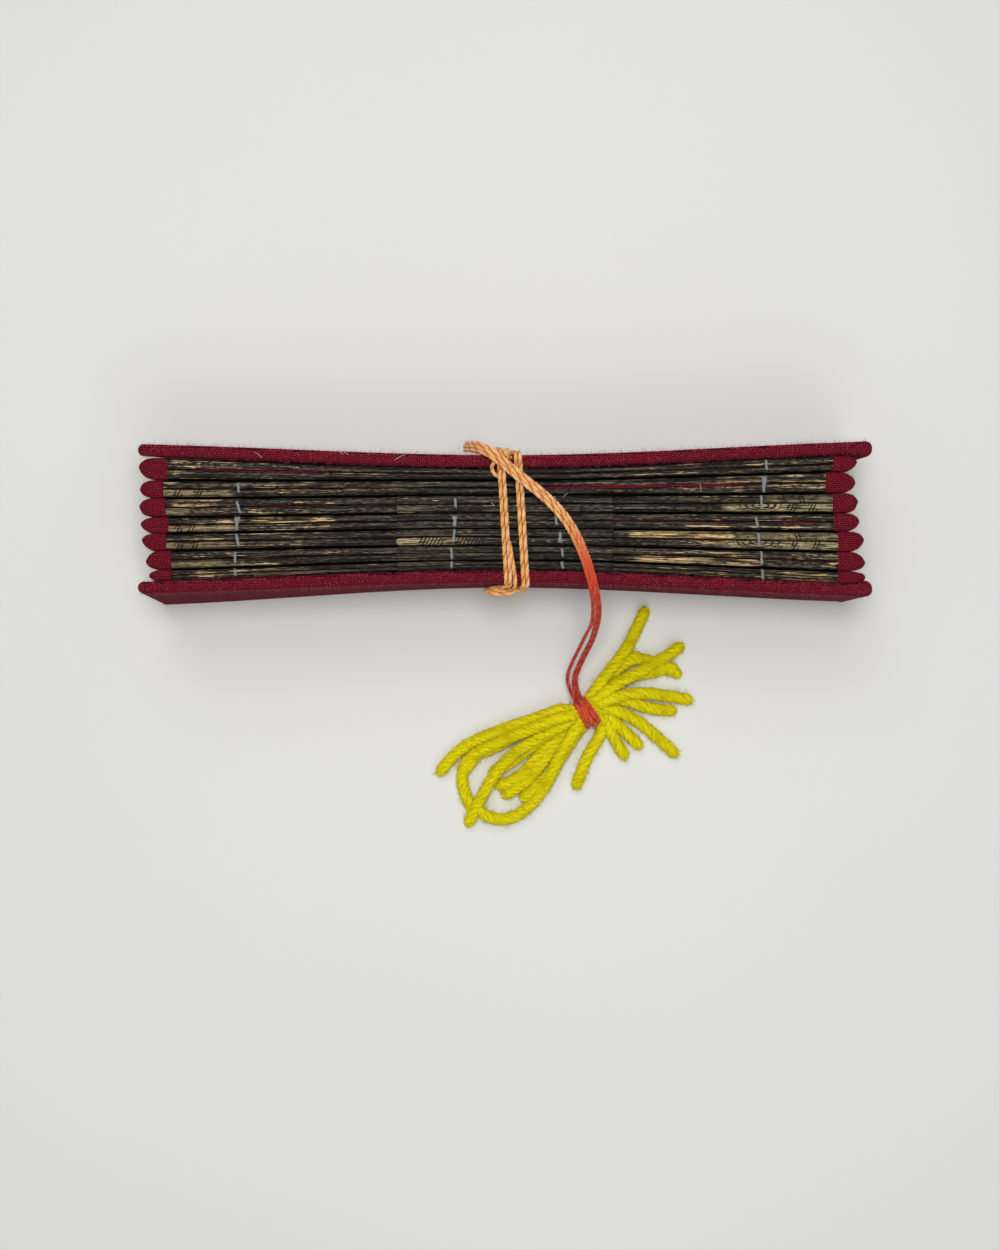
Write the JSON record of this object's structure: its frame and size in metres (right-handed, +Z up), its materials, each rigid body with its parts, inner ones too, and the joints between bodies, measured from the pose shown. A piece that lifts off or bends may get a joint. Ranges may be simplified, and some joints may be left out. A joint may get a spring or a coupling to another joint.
{
  "type": "accordion book",
  "caption": "Fan-fold palm-leaf book with cloth-bound ends and cloth-covered boards, tied round the middle with a cotton cord that ends in a yarn tassel.",
  "frame": {"origin": "middle of the book's underside, on the surface that it stands on, measured without the free cord and its tassel", "axes": "+X along the leaf strips, +Y through the stack of folds towards the front board, +Z up the strips, away from the surface"},
  "size_m": [0.154, 0.0844, 0.037],
  "materials": {
    "red_cloth": "matt woven cotton",
    "palm_leaf": "dry, smoked leaf with worn straw-coloured streaks",
    "cotton_cord": "soft twisted cotton",
    "yellow_yarn": "fuzzy plied yarn"
  },
  "bodies": {
    "root": {"front_board": "red_cloth", "back_board": "red_cloth", "leaf_strips": "palm_leaf", "inset_strips": "palm_leaf", "left_cloth_binding": "red_cloth", "right_cloth_binding": "red_cloth", "tie_wraps": "cotton_cord", "tie_tail": "cotton_cord", "tassel_band": "cotton_cord", "tassel_yarns": "yellow_yarn"}
  },
  "joints": []
}
